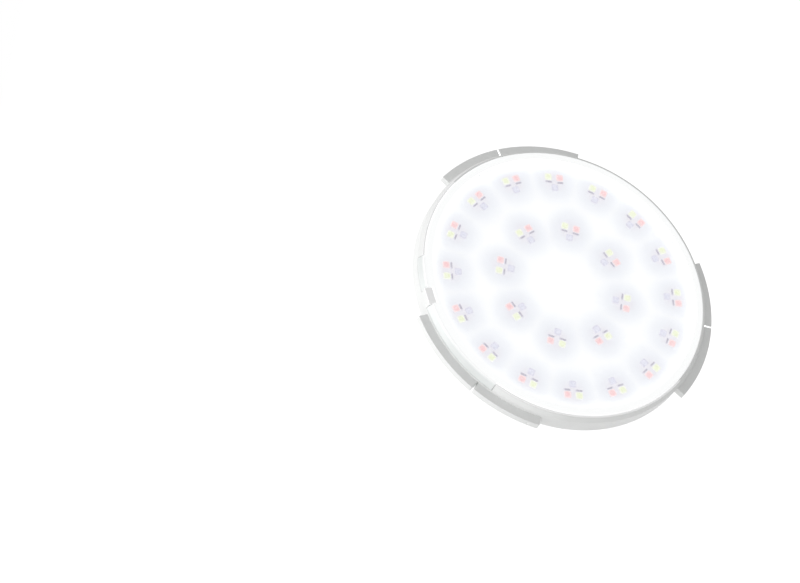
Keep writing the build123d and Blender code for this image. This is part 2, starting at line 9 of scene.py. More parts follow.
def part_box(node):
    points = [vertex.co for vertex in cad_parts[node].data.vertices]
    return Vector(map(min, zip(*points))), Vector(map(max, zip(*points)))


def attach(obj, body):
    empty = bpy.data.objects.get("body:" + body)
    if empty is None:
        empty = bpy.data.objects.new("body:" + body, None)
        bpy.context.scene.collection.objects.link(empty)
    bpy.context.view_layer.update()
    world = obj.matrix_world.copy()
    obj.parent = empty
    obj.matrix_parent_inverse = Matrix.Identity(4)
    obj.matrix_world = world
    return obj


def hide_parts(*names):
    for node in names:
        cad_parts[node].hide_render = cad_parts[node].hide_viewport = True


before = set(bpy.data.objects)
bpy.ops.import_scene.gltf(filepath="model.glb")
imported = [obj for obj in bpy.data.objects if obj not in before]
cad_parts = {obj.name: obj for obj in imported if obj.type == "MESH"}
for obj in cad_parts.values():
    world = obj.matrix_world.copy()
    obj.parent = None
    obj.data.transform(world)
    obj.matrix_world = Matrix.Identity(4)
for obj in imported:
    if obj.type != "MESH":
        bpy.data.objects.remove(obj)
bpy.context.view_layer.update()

# The lamp's axis lies along Y, with the lens at -Y and the threaded spigot at +Y. +Z is up.
# Points are in metres. Radii and depths are in millimetres times MM, and depths run back from the face
# of the lens. Angles are in degrees, seen from the front, and run anticlockwise from +X.
MM = 0.001

# Camera: the photograph's viewing angle and distance, from the outlines of the lens and the lugs there
CAMERA_AZIMUTH = -32.62
CAMERA_ELEVATION = 13.07
CAMERA_ROLL = -74.96
CAMERA_DISTANCE = 1.858
CAMERA_SENSOR = 36.0
IMAGE_WIDTH_PIXELS = 800
IMAGE_HEIGHT_PIXELS = 583
PIXELS_PER_MM = 1.730
LENS_CENTRE_PIXEL = (565.9, 281.3)

# Stage and lamps
FLOOR_DROP = 0.35
FLOOR_SIZE = 12.0
FLOOR_GREY = 0.50
FLOOR_LIFT = 0.72
AMBIENT = 0.65
BACKDROP_WHITE = 1.0
LAMP_SIZE = 1.2
KEY_PLACE = (-0.2, -0.1, 1.6)
KEY_WATTS = 13.0
SIDE_PLACE = (-1.8, -0.2, 0.3)
SIDE_WATTS = 7.0

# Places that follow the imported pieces
LENS_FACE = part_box("front_lens")[0].y
BOARD_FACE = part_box("led_board")[0].y
SPIGOT_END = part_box("rear_housing")[1].y - LENS_FACE

# Round body
BODY_RADIUS = 89.0 * MM
BODY_DEPTH = 15.0 * MM
BACK_FLAT_RADIUS = 85.8 * MM
RIM_ROUNDING = 1.5 * MM
EDGE_ROUNDING = 0.25 * MM
LIP_BORE = 86.3 * MM
LIP_RADIUS = 87.3 * MM
LIP_SINK = 0.5 * MM
TAPER_END = 4.1 * MM
HOUSING_FRONT = 1.9 * MM
FRONT_BORE = 84.0 * MM
CAVITY_RADIUS = 82.2 * MM
CAVITY_START = 4.8 * MM
FLOOR_FRONT = 8.5 * MM
FLOOR_BACK = 10.5 * MM

# Neck and what it holds
NECK_RADIUS = 22.0 * MM
NECK_END = 27.3 * MM
WELL_RADIUS = 19.2 * MM
WELL_LEDGE_RADIUS = 18.2 * MM
WELL_LEDGE_DEPTH = 10.1 * MM
PARTITION_FRONT = 16.0 * MM
PARTITION_BACK = 18.5 * MM
PARTITION_HOLE = 10.1 * MM
GUSSET_COUNT = 9
GUSSET_REACH = 26.0 * MM
GUSSET_WIDTH = 3.4 * MM
GUSSET_ANGLE = 269.0
GUSSET_ROOT = 0.5 * MM
GUSSET_ROUNDING = 0.3 * MM
BAR_SUNK = 0.3 * MM

# Threaded spigot
THREAD_RADIUS = 23.9 * MM
THREAD_CUT = 1.2 * MM
THREAD_PITCH = 3.3 * MM
THREAD_FIRST = 26.3 * MM
THREAD_LAST = 41.9 * MM
THREAD_START_ANGLE = 90.0
THREAD_MOUTH = 2.0 * MM
THREAD_ROOT = 0.6 * MM
THREAD_FADE = 0.3 * MM
THREAD_ROW = 0.16 * MM
LEAD_START = 43.1 * MM
LEAD_RADIUS = 23.5 * MM
LEAD_CHAMFER = 0.2 * MM
LEAD_ROUNDING = 0.1 * MM
RIM_EDGE = 0.4 * MM
BORE_EDGE = 0.2 * MM
SPIGOT_BORE = 20.75 * MM
SPIGOT_SHOULDER = 29.3 * MM
BORE_RIB_END = 41.5 * MM
BORE_RIB_WIDTH = 2.5 * MM
BORE_RIB_ROOT = 0.4 * MM
BORE_RIB_ROUNDING = 0.25 * MM
NOTCH_ANGLE = 3.0
NOTCH_HALF_ANGLE = 8.1
NOTCH_DEPTH = 4.0 * MM

# Cells in the back
CELLS_ROUND = 9
CELL_ROWS = 6
CELL_ROW_SPACING = 11.7 * MM
CELL_FIRST_RADIUS = 22.9 * MM
CELL_HALF_RIB = 2.0 * MM
CELL_ANGLE = 275.0
CELL_FIELD = (22.6 * MM, 82.5 * MM)
CELL_CORNER = 1.3 * MM
CELL_MOUTH = 0.4 * MM
CELL_FOOT = 0.3 * MM
PLUG_ROW = 3
PLUG_FACE = 14.2 * MM

# Key of the lens, and the stop block in its notch
KEY_START = 95.5
KEY_END = 155.5
KEY_DEPTH = 5.4 * MM
STOP_START = 109.5
STOP_END = 116.0
STOP_RADIUS = 84.4 * MM
FIT_GAP = 0.3 * MM
FIT_TURN = math.degrees(FIT_GAP / BODY_RADIUS)

# Bayonet lugs
LUG_ANGLES = (30.0, 150.0, 270.0)
LUG_BEFORE = 32.0
LUG_AFTER = 26.5
LUG_RADIUS = 94.5 * MM
LUG_FRONT = 6.65 * MM
LUG_BACK = 11.05 * MM
LUG_SLIT = 1.0 * MM
LUG_ROOT = 88.5 * MM
LUG_ROUNDING = 0.35 * MM
DIMPLE_INSET = 4.0
DIMPLE_RADIUS = 1.2 * MM
DIMPLE_DEPTH = 0.6 * MM

# Lens cap
LENS_RADIUS = 86.25 * MM
LENS_WINDOW = 81.6 * MM
LENS_EDGE = 0.6 * MM
LENS_FLANGE = 1.6 * MM
LENS_PLATE = 2.2 * MM
LENS_ROUNDING = 0.15 * MM
LENS_RINGS = (35.0 * MM, 70.0 * MM)
TONGUE_RADIUS = 83.7 * MM
TONGUE_BORE = 82.0 * MM
TONGUE_END = 4.0 * MM

# Light-emitting clusters
OUTER_CLUSTERS = 16
OUTER_CLUSTER_RADIUS = 72.05 * MM
INNER_CLUSTERS = 8
INNER_CLUSTER_RADIUS = 39.7 * MM
FIRST_OUTER_ANGLE = 279.45
FIRST_INNER_ANGLE = 268.2
PACKAGE_SIDE = 4.1 * MM
PACKAGE_SHIFT = 3.6 * MM
PACKAGE_HEIGHT = 0.76 * MM
PACKAGE_CHAMFER = 0.14 * MM
CUP_RADIUS = 1.75 * MM
CUP_FLOOR = 0.5 * MM
DOME_RADIUS = 1.65 * MM
DOME_RISE = 0.28 * MM
BLUE_INSET = 7.0 * MM
RESISTOR_LENGTH = 4.3 * MM
RESISTOR_WIDTH = 1.1 * MM
RESISTOR_HEIGHT = 0.5 * MM
RESISTOR_INSET = 3.2 * MM

# Shade round each cluster, and the light that the lens's edge carries
HALO_INSET = 2.0 * MM
HALO_CORE = 2.0 * MM
HALO_REACH = 24.0 * MM
HALO_FADE_START = 73.0 * MM
HALO_FADE_END = 81.0 * MM
HALO_LEFT = 0.1
EDGE_GLOW = 0.36
EDGE_GLOW_RADIUS = 86.0 * MM
TONGUE_GLOW = 0.95

# Fineness of the meshes
COLUMN_COUNT = 288
CLOSE_PAIR = 0.005
MERGE_DISTANCE = 0.0005 * MM
SLIVER_HEIGHT = MERGE_DISTANCE / 50
SHARP_ANGLE = 38.0
CORNER_SHARE = 0.48
OUTLINE_POINTS = 720
OUTLINE_STEP = 10
LUG_STEP = 1.25
LUG_ROWS = 15
PACKAGE_SIDES = 24


# Node helpers

def new_material(name):
    """Node material with its principled shader."""
    material = bpy.data.materials.new(name)
    material.use_nodes = True
    tree = material.node_tree
    return material, tree, tree.nodes["Principled BSDF"]


def connect(tree, socket, value):
    """Link a node's output to a socket, or set the socket to a plain value."""
    if isinstance(value, bpy.types.NodeSocket):
        tree.links.new(value, socket)
    else:
        socket.default_value = value


def node(tree, kind, inputs=(), **settings):
    """New node with its settings and its inputs, given by name or index."""
    made = tree.nodes.new(kind)
    for key, value in settings.items():
        setattr(made, key, value)
    for key, value in dict(inputs).items():
        connect(tree, made.inputs[key], value)
    return made


def calc(tree, operation, *values):
    """Output of one math node."""
    made = node(tree, "ShaderNodeMath", operation=operation)
    for socket, value in zip(made.inputs, values):
        connect(tree, socket, value)
    return made.outputs[0]


def fade(tree, value, low, high, start=0.0, end=1.0):
    """Smooth step of a value from low to high."""
    inputs = {"Value": value, "From Min": low, "From Max": high, "To Min": start, "To Max": end}
    return node(tree, "ShaderNodeMapRange", inputs, interpolation_type="SMOOTHSTEP").outputs["Result"]


def blend_colours(tree, factor, first, second):
    """Mix of two colours. For those, the Mix node uses its inputs 0, 6 and 7 and its output 2."""
    made = node(tree, "ShaderNodeMix", data_type="RGBA")
    connect(tree, made.inputs[0], factor)
    connect(tree, made.inputs[6], first)
    connect(tree, made.inputs[7], second)
    return made.outputs[2]


def place(tree):
    """Object coordinates and their three parts."""
    coords = node(tree, "ShaderNodeTexCoord").outputs["Object"]
    parts = node(tree, "ShaderNodeSeparateXYZ", {0: coords}).outputs
    return coords, parts


def noise(tree, coords, size, detail=2.0):
    """Noise whose features are about the given size in metres."""
    inputs = {"Vector": coords, "Scale": 1.0 / size, "Detail": detail, "Roughness": 0.55}
    return node(tree, "ShaderNodeTexNoise", inputs).outputs["Fac"]


def srgb(red, green, blue):
    """Linear colour of three display values from 0 to 255."""
    values = np.array([red, green, blue]) / 255.0
    linear = np.where(values <= 0.04045, values / 12.92, ((values + 0.055) / 1.055) ** 2.4)
    return (*linear.tolist(), 1.0)


def grain(tree, coords, size, depth, normal=None):
    """Normal of a fine surface grain."""
    inputs = {"Height": noise(tree, coords, size), "Distance": depth, "Strength": 0.6}
    if normal is not None:
        inputs["Normal"] = normal
    return node(tree, "ShaderNodeBump", inputs).outputs["Normal"]


# Materials

def moulded(name, light, dark, roughness, patch, grain_size, metal):
    """Finish with slow tone changes, uneven gloss and a fine grain."""
    material, tree, shader = new_material(name)
    coords, _ = place(tree)
    tone = noise(tree, coords, patch, 3.0)
    shader.inputs["Metallic"].default_value = metal
    connect(tree, shader.inputs["Base Color"], blend_colours(tree, tone, dark, light))
    gloss = fade(tree, noise(tree, coords, patch / 3), 0.3, 0.7, roughness - 0.05, roughness + 0.05)
    connect(tree, shader.inputs["Roughness"], gloss)
    connect(tree, shader.inputs["Normal"], grain(tree, coords, grain_size, 0.01 * MM))
    return material


def housing_plastic():
    """Grey-white moulded plastic with a slow tone change and a fine grain."""
    material, tree, shader = new_material("housing_plastic")
    coords, _ = place(tree)
    tone = noise(tree, coords, 14 * MM, 3.0)
    grey = blend_colours(tree, tone, srgb(229, 230, 229), srgb(238, 239, 238))
    connect(tree, shader.inputs["Base Color"], grey)
    gloss = fade(tree, noise(tree, coords, 5 * MM), 0.3, 0.7, 0.30, 0.40)
    connect(tree, shader.inputs["Roughness"], gloss)
    connect(tree, shader.inputs["Normal"], grain(tree, coords, 0.4 * MM, 0.008 * MM))
    return material


def white_plastic(name, glow):
    """White plastic or rubber that lets some of the lamp's light through. On the slit walls of the lugs,
    the same white glow is painted light.
    """
    material, tree, shader = new_material(name)
    coords, _ = place(tree)
    tone = noise(tree, coords, 9 * MM, 3.0)
    white = blend_colours(tree, tone, srgb(248, 248, 248), srgb(253, 253, 253))
    connect(tree, shader.inputs["Base Color"], white)
    shader.inputs["Roughness"].default_value = 0.4
    shader.inputs["Emission Color"].default_value = (1.0, 1.0, 1.0, 1.0)
    shader.inputs["Emission Strength"].default_value = glow
    connect(tree, shader.inputs["Normal"], grain(tree, coords, 0.4 * MM, 0.008 * MM))
    return material


def ring_radius(tree, x, z):
    """Length of a step from its two parts at right angles, such as a point's distance from the axis."""
    return calc(tree, "SQRT", calc(tree, "ADD", calc(tree, "MULTIPLY", x, x), calc(tree, "MULTIPLY", z, z)))


def clear_lens():
    """Clear plastic with a faint unevenness that softens what lies behind it."""
    material, tree, shader = new_material("clear_lens")
    coords, _ = place(tree)
    shader.inputs["Base Color"].default_value = srgb(253, 254, 255)
    shader.inputs["Transmission Weight"].default_value = 1.0
    shader.inputs["IOR"].default_value = 1.49
    softness = fade(tree, noise(tree, coords, 9 * MM), 0.3, 0.7, 0.14, 0.19)
    connect(tree, shader.inputs["Roughness"], softness)
    return material


def lens_edge():
    """Thick edge of the lens, milky with the light that it carries.

    The tongue behind the lens glows most and the front less. The outer side of the key doesn't glow, and is
    painted greyer there as shade.
    """
    material, tree, shader = new_material("lens_edge")
    coords, (x, y, z) = place(tree)
    tone = noise(tree, coords, 9 * MM, 3.0)
    face = blend_colours(tree, tone, srgb(246, 248, 248), srgb(252, 253, 253))
    # painted shade: the key's outer side is the same milky plastic, painted greyer than the face
    side = blend_colours(tree, tone, srgb(218, 222, 221), srgb(230, 233, 232))
    radius = ring_radius(tree, x, z)
    on_side = fade(tree, radius, LIP_RADIUS - FIT_GAP, LIP_RADIUS + 0.5 * MM)
    connect(tree, shader.inputs["Base Color"], blend_colours(tree, on_side, face, side))
    shader.inputs["Roughness"].default_value = 0.25
    shader.inputs["Emission Color"].default_value = (1.0, 1.0, 1.0, 1.0)
    front_glow = fade(tree, radius, EDGE_GLOW_RADIUS, LIP_RADIUS, EDGE_GLOW, 0.0)
    flange_back = LENS_FACE + LENS_FLANGE
    soft = 0.1 * LENS_FLANGE
    behind = fade(tree, y, flange_back - soft, flange_back + soft, 0.0, TONGUE_GLOW)
    inside = fade(tree, radius, FRONT_BORE, FRONT_BORE + 2 * FIT_GAP, 1.0, 0.0)
    inner_glow = calc(tree, "MULTIPLY", behind, inside)
    connect(tree, shader.inputs["Emission Strength"], calc(tree, "MAXIMUM", front_glow, inner_glow))
    return material


def ring_distance(tree, radius, angle, middle_radius, first_angle, count):
    """Distance to the nearest of the clusters on one ring, from the radius and the angle of a point."""
    step = 2 * math.pi / count
    turned = calc(tree, "SUBTRACT", angle, math.radians(first_angle) - step / 2)
    offset = calc(tree, "SUBTRACT", calc(tree, "FLOORED_MODULO", turned, step), step / 2)
    along = calc(tree, "MULTIPLY", offset, radius)
    across = calc(tree, "SUBTRACT", radius, middle_radius)
    return ring_radius(tree, along, across)


def board_white():
    """White glowing board with a soft lilac-grey shade round each cluster."""
    material, tree, shader = new_material("board_white")
    coords, (x, _, z) = place(tree)
    radius = ring_radius(tree, x, z)
    angle = calc(tree, "ARCTAN2", z, x)
    outer = ring_distance(
        tree, radius, angle, OUTER_CLUSTER_RADIUS - HALO_INSET, FIRST_OUTER_ANGLE, OUTER_CLUSTERS
    )
    inner = ring_distance(
        tree, radius, angle, INNER_CLUSTER_RADIUS - HALO_INSET, FIRST_INNER_ANGLE, INNER_CLUSTERS
    )
    nearest = calc(tree, "MINIMUM", outer, inner)
    shade = fade(tree, nearest, HALO_CORE, HALO_REACH, 1.0, 0.0)
    kept = fade(tree, radius, HALO_FADE_START, HALO_FADE_END, 1.0, HALO_LEFT)
    shade = calc(tree, "MULTIPLY", shade, kept)
    away = fade(tree, nearest, 1.5 * HALO_CORE, 5 * HALO_CORE)
    tint = blend_colours(tree, away, srgb(231, 228, 234), srgb(229, 231, 237))
    shader.inputs["Base Color"].default_value = (0.05, 0.05, 0.05, 1.0)
    shader.inputs["Roughness"].default_value = 0.5
    colour = blend_colours(tree, shade, (1.0, 1.0, 1.0, 1.0), tint)
    connect(tree, shader.inputs["Emission Color"], colour)
    shader.inputs["Emission Strength"].default_value = 1.0
    connect(tree, shader.inputs["Normal"], grain(tree, coords, 0.6 * MM, 0.01 * MM))
    return material


def lit(name, bright, deep, strength=0.9):
    """Lit face of a package, or the painted glow of a resistor under the lens, a little uneven in colour.
    """
    material, tree, shader = new_material(name)
    coords, _ = place(tree)
    tone = noise(tree, coords, 1.2 * MM)
    colour = blend_colours(tree, fade(tree, tone, 0.35, 0.65), bright, deep)
    shader.inputs["Base Color"].default_value = (0.05, 0.05, 0.05, 1.0)
    connect(tree, shader.inputs["Emission Color"], colour)
    shader.inputs["Emission Strength"].default_value = strength
    shader.inputs["Roughness"].default_value = 0.2
    return material


# Meshes

def mesh_piece(name, parts, materials, flat=False):
    """One object from several parts, each with its points, its faces and the index of its material.

    Points that coincide are merged, so that parts that share a ring close up. Edges sharper than the
    given angle stay sharp, and weighted normals keep flat faces flat beside rounded edges.
    """
    points, faces, indices = [], [], []
    for part_points, part_faces, index in parts:
        first = len(points)
        points += np.asarray(part_points, float).reshape(-1, 3).tolist()
        faces += [tuple(int(i) + first for i in face) for face in part_faces]
        indices += [index] * len(part_faces) if np.isscalar(index) else list(index)
    mesh = bpy.data.meshes.new(name)
    mesh.from_pydata(points, [], faces)
    for material in materials:
        mesh.materials.append(material)
    mesh.polygons.foreach_set("material_index", np.asarray(indices, np.int32))
    work = bmesh.new()
    work.from_mesh(mesh)
    bmesh.ops.remove_doubles(work, verts=work.verts, dist=MERGE_DISTANCE)
    bmesh.ops.dissolve_degenerate(work, edges=work.edges, dist=SLIVER_HEIGHT)
    work.to_mesh(mesh)
    work.free()
    piece = bpy.data.objects.new(name, mesh)
    bpy.context.scene.collection.objects.link(piece)
    if not flat:
        mesh.polygons.foreach_set("use_smooth", np.full(len(mesh.polygons), True))
        mesh.set_sharp_from_angle(angle=math.radians(SHARP_ANGLE))
        even = piece.modifiers.new("even_shading", "WEIGHTED_NORMAL")
        even.keep_sharp = True
    return piece


def grid_faces(rows, count):
    """Quads of a grid whose columns close round, each row having that many points."""
    row, column = np.meshgrid(np.arange(rows - 1), np.arange(count), indexing="ij")
    following = (column + 1) % count
    quads = np.stack([
        row * count + column,
        row * count + following,
        (row + 1) * count + following,
        (row + 1) * count + column,
    ], axis=-1)
    return quads.reshape(-1, 4)


def rounded(corners, radii, closed=True, steps=3):
    """Outlines whose corners are replaced by short curves.

    Each curve is the quadratic one from a point before the corner to a point after it, with the corner
    as its middle control point: (1-t)^2 a + 2t(1-t) c + t^2 b. Both ends lie the corner's radius away, or
    just under half of the side if that is less. The corners' array may have any shape that ends in
    (points, 2).
    """
    before = np.roll(corners, 1, axis=-2) - corners
    after = np.roll(corners, -1, axis=-2) - corners
    curves = []
    for side in (before, after):
        length = np.maximum(np.linalg.norm(side, axis=-1), 1e-12)
        reach = np.minimum(np.asarray(radii), CORNER_SHARE * length)
        curves.append(corners + side * (reach / length)[..., None])
    t = np.linspace(0, 1, steps + 1)[:, None]
    start, end, corner = curves[0][..., None, :], curves[1][..., None, :], corners[..., None, :]
    points = (1 - t) ** 2 * start + 2 * t * (1 - t) * corner + t ** 2 * end
    points = points.reshape(*corners.shape[:-2], -1, 2)
    if closed:
        return points
    ends = steps + 1
    return np.concatenate([corners[..., :1, :], points[..., ends:-ends, :], corners[..., -1:, :]], axis=-2)


def columns(edges):
    """Angles of a grid's columns: even steps, and a close pair at each edge that cuts across them."""
    even = np.arange(COLUMN_COUNT) * 360.0 / COLUMN_COUNT
    edges = np.asarray(edges) % 360
    return np.unique(np.concatenate([even, edges - CLOSE_PAIR, edges + CLOSE_PAIR]))


def between(angles, start, stop):
    """Which angles lie in a stretch."""
    return (angles - start) % 360 < (stop - start)


def spun(profiles, angles):
    """Grid of points (along the profile, round the axis) and its quads.

    Each column turns its own profile of radii r and depths d to its angle a: x = r cos a, z = r sin a,
    y = lens face + d. A profile that runs outwards on a front face has its faces pointing outwards.
    """
    turn = np.radians(angles)[:, None]
    radius, depth = profiles[..., 0], profiles[..., 1]
    points = np.stack([radius * np.cos(turn), LENS_FACE + depth, radius * np.sin(turn)], axis=-1)
    points = points.transpose(1, 0, 2)
    faces = grid_faces(points.shape[0], points.shape[1])[:, ::-1]
    return points, faces


def spread(corners, count):
    """The same corners for every column."""
    return np.broadcast_to(np.array(corners, float), (count, len(corners), 2)).copy()


# Housing

def dish_profiles(angles):
    """Profile of the dish for each column, from the foot of the neck through the inside to the back flat.

    Most columns have the lip. Those behind the key of the lens drop to its seat, and those of the stop
    block rise to the face of the lens.
    """
    inside = [
        (NECK_RADIUS, BODY_DEPTH), (NECK_RADIUS, NECK_END), (WELL_RADIUS, NECK_END),
        (WELL_RADIUS, PARTITION_BACK), (PARTITION_HOLE, PARTITION_BACK), (PARTITION_HOLE, PARTITION_FRONT),
        (WELL_LEDGE_RADIUS, PARTITION_FRONT), (WELL_LEDGE_RADIUS, WELL_LEDGE_DEPTH),
        (WELL_RADIUS, WELL_LEDGE_DEPTH), (WELL_RADIUS, FLOOR_FRONT), (CAVITY_RADIUS, FLOOR_FRONT),
        (CAVITY_RADIUS, CAVITY_START), (FRONT_BORE, CAVITY_START), (FRONT_BORE, HOUSING_FRONT),
    ]
    outside = [(BODY_RADIUS, BODY_DEPTH), (BACK_FLAT_RADIUS, BODY_DEPTH)]
    lip = [
        (LIP_BORE, HOUSING_FRONT), (LIP_BORE, LIP_SINK), (LIP_RADIUS, LIP_SINK), (BODY_RADIUS, TAPER_END),
    ]
    seat_depth = KEY_DEPTH + FIT_GAP
    seat = [
        (LIP_BORE, HOUSING_FRONT), (LIP_BORE, seat_depth), (BODY_RADIUS - FIT_GAP, seat_depth),
        (BODY_RADIUS, seat_depth),
    ]
    block = [
        (STOP_RADIUS, HOUSING_FRONT), (STOP_RADIUS, 0), (BODY_RADIUS, 0), (BODY_RADIUS, TAPER_END),
    ]
    corners = spread(inside + lip + outside, len(angles))
    behind_key = between(angles, KEY_START - FIT_TURN, KEY_END + FIT_TURN)
    in_block = between(angles, STOP_START, STOP_END)
    corners[behind_key, len(inside):len(inside) + len(seat)] = seat
    corners[in_block, len(inside):len(inside) + len(block)] = block
    radii = np.full(corners.shape[1], EDGE_ROUNDING)
    radii[-2] = RIM_ROUNDING
    return rounded(corners, radii, closed=False, steps=4)


def cell_outline(row, column):
    """Closed outline of one cell.

    Its six corners lie on three circles round the axis, and each side is moved in by half a rib. The
    outline is cut off by the inner and outer circles of the field and then rounded, by averaging its evenly
    spaced points over the length of a corner.
    """
    step = 360.0 / CELLS_ROUND
    ring = CELL_FIRST_RADIUS + row * CELL_ROW_SPACING
    middle = CELL_ANGLE + column * step + (0 if row % 2 == PLUG_ROW % 2 else step / 2)
    radii = ring + CELL_ROW_SPACING * np.array([0, 1, 1, 0, -1, -1])
    turns = np.radians(middle + step / 6 * np.array([-2, -1, 1, 2, 1, -1]))
    corners = np.stack([radii * np.cos(turns), radii * np.sin(turns)], axis=-1)
    ahead = np.roll(corners, -1, axis=0) - corners
    ahead /= np.linalg.norm(ahead, axis=1, keepdims=True)
    inward = np.stack([-ahead[:, 1], ahead[:, 0]], axis=-1) * CELL_HALF_RIB
    last = np.roll(ahead, 1, axis=0)
    start = np.roll(corners + inward, 1, axis=0)
    gap = corners + inward - start
    cross = last[:, 0] * ahead[:, 1] - last[:, 1] * ahead[:, 0]
    along = (gap[:, 0] * ahead[:, 1] - gap[:, 1] * ahead[:, 0]) / cross
    moved = start + last * along[:, None]
    fine = even_points(moved, OUTLINE_POINTS)
    radius = np.linalg.norm(fine, axis=1)
    fine *= (np.clip(radius, *CELL_FIELD) / radius)[:, None]
    fine = even_points(fine, OUTLINE_POINTS)
    length = np.linalg.norm(fine - np.roll(fine, 1, axis=0), axis=1).mean()
    half = max(1, round(CELL_CORNER / length / 2))
    for _ in range(2):
        fine = sum(np.roll(fine, k, axis=0) for k in range(-half, half + 1)) / (2 * half + 1)
    return fine[::OUTLINE_STEP]


def even_points(outline, count):
    """Points spaced evenly along a closed outline of straight sides."""
    closed = np.concatenate([outline, outline[:1]])
    lengths = np.concatenate([[0], np.cumsum(np.linalg.norm(np.diff(closed, axis=0), axis=1))])
    places = np.arange(count) * lengths[-1] / count
    return np.stack([np.interp(places, lengths, closed[:, k]) for k in range(2)], axis=-1)


def cell_parts(outline, floor_depth):
    """Mouth, wall and floor of one cell.

    Ring by ring, the outline is moved outwards by e and backwards to depth d. The mouth follows a
    quarter circle of radius R, e = R (1 - sin t) and d = back - R (1 - cos t). Then the wall goes straight
    down, and a second, smaller quarter circle leads into the floor.
    """
    ahead = np.roll(outline, -1, axis=0) - np.roll(outline, 1, axis=0)
    ahead /= np.linalg.norm(ahead, axis=1, keepdims=True)
    outward = np.stack([ahead[:, 1], -ahead[:, 0]], axis=-1)
    t = np.radians([0, 30, 60, 90])
    moves = [(CELL_MOUTH * (1 - np.sin(k)), BODY_DEPTH - CELL_MOUTH * (1 - np.cos(k))) for k in t]
    moves += [(-CELL_FOOT * (1 - np.cos(k)), floor_depth + CELL_FOOT * (1 - np.sin(k))) for k in t]
    rings = []
    for shift, depth in moves:
        at = outline + outward * shift
        rings.append(np.stack([at[:, 0], np.full(len(at), LENS_FACE + depth), at[:, 1]], axis=-1))
    count = len(outline)
    faces = grid_faces(len(rings), count)
    floor = [tuple(reversed(range((len(rings) - 1) * count, len(rings) * count)))]
    return np.array(rings), faces[:, ::-1], floor


def inside_outline(places, outline):
    """Which places lie inside an outline, from how often its sides cross the ray towards +X."""
    x, z = places[:, 0, None], places[:, 1, None]
    start, end = outline, np.roll(outline, -1, axis=0)
    crosses = (start[:, 1] > z) != (end[:, 1] > z)
    rise = np.where(end[:, 1] == start[:, 1], 1.0, end[:, 1] - start[:, 1])
    where = start[:, 0] + (z - start[:, 1]) * (end[:, 0] - start[:, 0]) / rise
    return (crosses & (where > x)).sum(axis=1) % 2 == 1


def back_flat(angles, mouths):
    """Flat back face between the outer circle, the neck and the mouths of the cells, as triangles."""
    turn = np.radians(angles)
    round_trip = np.stack([np.cos(turn), np.sin(turn)], axis=-1)
    loops = [round_trip * BACK_FLAT_RADIUS, round_trip * NECK_RADIUS, *mouths]
    points, edges, first = [], [], 0
    for loop in loops:
        count = len(loop)
        edges += [(first + k, first + (k + 1) % count) for k in range(count)]
        points += (loop / MM).tolist()
        first += count
    made = delaunay_2d_cdt([Vector(p) for p in points], edges, [], 0, 1e-6)
    places = np.array([tuple(p) for p in made[0]]) * MM
    triangles = np.array([tuple(face) for face in made[2]])
    middles = places[triangles].mean(axis=1)
    keep = inside_outline(middles, loops[0])
    for hole in loops[1:]:
        keep &= ~inside_outline(middles, hole)
    triangles = triangles[keep]
    corners = places[triangles]
    first_side = corners[:, 1] - corners[:, 0]
    second_side = corners[:, 2] - corners[:, 0]
    turns_left = first_side[:, 0] * second_side[:, 1] - first_side[:, 1] * second_side[:, 0] > 0
    triangles[turns_left] = triangles[turns_left][:, ::-1]
    depth = np.full(len(places), LENS_FACE + BODY_DEPTH)
    return np.stack([places[:, 0], depth, places[:, 1]], axis=-1), triangles


def housing_dish(plastic, white):
    """Dish of the housing with its cells, in one closed surface.

    The front of the lip between the top lug and the bottom one, the front of the stop block and the floors
    of the cells let the light through.
    """
    angles = columns([KEY_START - FIT_TURN, KEY_END + FIT_TURN, STOP_START, STOP_END])
    shell_points, shell_faces = spun(dish_profiles(angles), angles)
    depth = (shell_points[:-1, :, 1] + shell_points[1:, :, 1]) / 2 - LENS_FACE
    in_block = between(angles, STOP_START, STOP_END - CLOSE_PAIR)[None, :]
    # painted light from the lens: the lip's front between the lugs and the stop block's front get the white
    # glowing finish
    lens_lit_lip = between(angles, LUG_ANGLES[0] + LUG_AFTER, LUG_ANGLES[2] - LUG_BEFORE)[None, :]
    lit_by_lens = lens_lit_lip & (depth < LIP_SINK + EDGE_ROUNDING / 2)
    lit_by_lens |= in_block & (depth < HOUSING_FRONT)
    parts = [(shell_points, shell_faces, lit_by_lens.reshape(-1).astype(int).tolist())]
    mouths = []
    for row in range(CELL_ROWS):
        depth = PLUG_FACE if row == PLUG_ROW else FLOOR_BACK
        for column in range(CELLS_ROUND):
            rings, walls, floor = cell_parts(cell_outline(row, column), depth)
            parts.append((rings, walls, 0))
            parts.append((rings, floor, 1))
            mouths.append(rings[0][:, [0, 2]])
    flat_points, flat_faces = back_flat(angles, mouths)
    parts.append((flat_points, flat_faces, 0))
    return mesh_piece("housing_dish", parts, [plastic, white])


def thread_radius(depth, angles):
    """Radius of the spigot at each depth and angle.

    The groove's middle lies at depth first + pitch (n - turn), with n whole and turn the share of a full
    turn from where it starts, so it climbs right-handed. The cut is full within half the root's width of
    that middle and falls smoothly to nothing at half the mouth's width. It fades out before the lead.
    """
    turn = (angles - THREAD_START_ANGLE) / 360.0
    number = np.round((depth - THREAD_FIRST) / THREAD_PITCH + turn)
    middle = THREAD_FIRST + THREAD_PITCH * (number - turn)
    away = np.abs(depth - middle)
    share = np.clip((THREAD_MOUTH / 2 - away) / (THREAD_MOUTH / 2 - THREAD_ROOT / 2), 0, 1)
    share = share * share * (3 - 2 * share)
    ends = np.clip((THREAD_LAST - middle) / THREAD_FADE + 1, 0, 1)
    return THREAD_RADIUS - THREAD_CUT * share * ends


